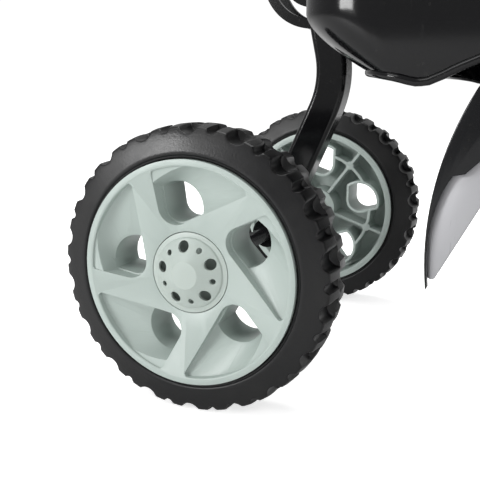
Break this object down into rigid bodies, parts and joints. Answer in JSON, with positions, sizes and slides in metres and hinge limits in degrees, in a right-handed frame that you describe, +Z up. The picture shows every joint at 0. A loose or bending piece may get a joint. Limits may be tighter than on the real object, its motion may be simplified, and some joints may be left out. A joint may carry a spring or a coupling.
{
  "type": "garden tiller lower unit",
  "caption": "Lower unit of a walk-behind garden tiller: tine guard, worm gearbox, tine rotor and a flip-up bent bracket with lugged transport wheels.",
  "frame": {"origin": "centre of the motor flange's upper face, where the worm shaft's axis leaves it", "axes": "+X forward (tines ahead, wheels behind), +Y to the machine's left, +Z up along the worm shaft"},
  "size_m": [0.5169, 0.41, 0.352],
  "materials": {
    "rim_plastic": "satin",
    "cap_plastic": "satin",
    "tyre_rubber": "matt",
    "bush_plastic": "satin",
    "black_paint": "gloss",
    "black_rod": "gloss",
    "tine_paint": "gloss",
    "bright_steel": "satin",
    "cast_alloy": "satin",
    "seal_rubber": "matt",
    "black_plastic": "satin",
    "brass": "satin",
    "bronze": "satin",
    "machined_steel": "polished",
    "zinc_steel": "satin"
  },
  "bodies": {
    "tiller": {"tine_guard": "black_paint", "gearbox_right_half": "cast_alloy", "gearbox_left_half": "cast_alloy", "gearbox_screws": "zinc_steel", "right_shaft_bearing": "machined_steel", "left_shaft_bearing": "machined_steel", "right_shaft_seal": "seal_rubber", "left_shaft_seal": "seal_rubber", "lower_worm_bearing": "machined_steel", "upper_worm_bearing": "machined_steel", "worm_seal": "seal_rubber", "motor_flange": "cast_alloy", "flange_bolts": "zinc_steel", "yoke": "black_paint", "yoke_bolts": "zinc_steel", "yoke_nuts": "zinc_steel", "pivot_bolt": "zinc_steel", "pivot_nut": "zinc_steel"},
    "wheel_bracket": {"bracket_tube": "black_paint", "tube_cap": "black_plastic", "axle_sleeve": "black_paint", "axle": "black_rod", "pivot_sleeve": "black_paint", "axle_washers": "zinc_steel", "push_nuts": "zinc_steel", "clamp_bolt": "zinc_steel", "clamp_washer": "zinc_steel"},
    "clamp_knob": {"clamp_knob": "black_plastic", "knob_insert": "brass"},
    "right_wheel": {"right_rim": "rim_plastic", "right_tyre": "tyre_rubber", "right_hub_cap": "cap_plastic", "right_outer_bush": "bush_plastic", "right_inner_bush": "bush_plastic"},
    "left_wheel": {"left_rim": "rim_plastic", "left_tyre": "tyre_rubber", "left_hub_cap": "cap_plastic", "left_outer_bush": "bush_plastic", "left_inner_bush": "bush_plastic"},
    "tine_rotor": {"tine_shaft": "machined_steel", "worm_wheel": "bronze", "wheel_key": "zinc_steel", "tine_pins": "zinc_steel", "right_outer_tine_hub": "tine_paint", "right_outer_tine_arms": "tine_paint", "right_outer_tine_paddles": "bright_steel", "right_inner_tine_hub": "tine_paint", "right_inner_tine_arms": "tine_paint", "right_inner_tine_paddles": "bright_steel", "left_inner_tine_hub": "tine_paint", "left_inner_tine_arms": "tine_paint", "left_inner_tine_paddles": "bright_steel", "left_outer_tine_hub": "tine_paint", "left_outer_tine_arms": "tine_paint", "left_outer_tine_paddles": "bright_steel"},
    "worm": {"worm_shaft": "machined_steel"}
  },
  "joints": [
    {"name": "bracket_flip", "type": "hinge", "parent": "tiller", "child": "wheel_bracket", "pos_m": [-0.19961, 0, -0.03], "axis": [0, 1, 0], "range_deg": [0, 95]},
    {"name": "right_wheel_spin", "type": "hinge", "parent": "wheel_bracket", "child": "right_wheel", "pos_m": [-0.236, -0.149, -0.24], "axis": [0, 1, 0], "continuous": true},
    {"name": "left_wheel_spin", "type": "hinge", "parent": "wheel_bracket", "child": "left_wheel", "pos_m": [-0.236, 0.149, -0.24], "axis": [0, 1, 0], "continuous": true},
    {"name": "clamp_turn", "type": "hinge", "parent": "wheel_bracket", "child": "clamp_knob", "pos_m": [-0.19337, 0.025, -0.05934], "axis": [0, 1, 0], "range_deg": [-360, 0]},
    {"name": "tine_rotor_spin", "type": "hinge", "parent": "tiller", "child": "tine_rotor", "pos_m": [0.042, 0, -0.16], "axis": [0, 1, 0], "continuous": true},
    {"name": "worm_spin", "type": "hinge", "parent": "tiller", "child": "worm", "pos_m": [0, 0, -0.1], "axis": [0, 0, 1], "continuous": true}
  ],
  "couplings": [
    {"joint": "worm_spin", "follows": "tine_rotor_spin", "ratio": -32}
  ]
}
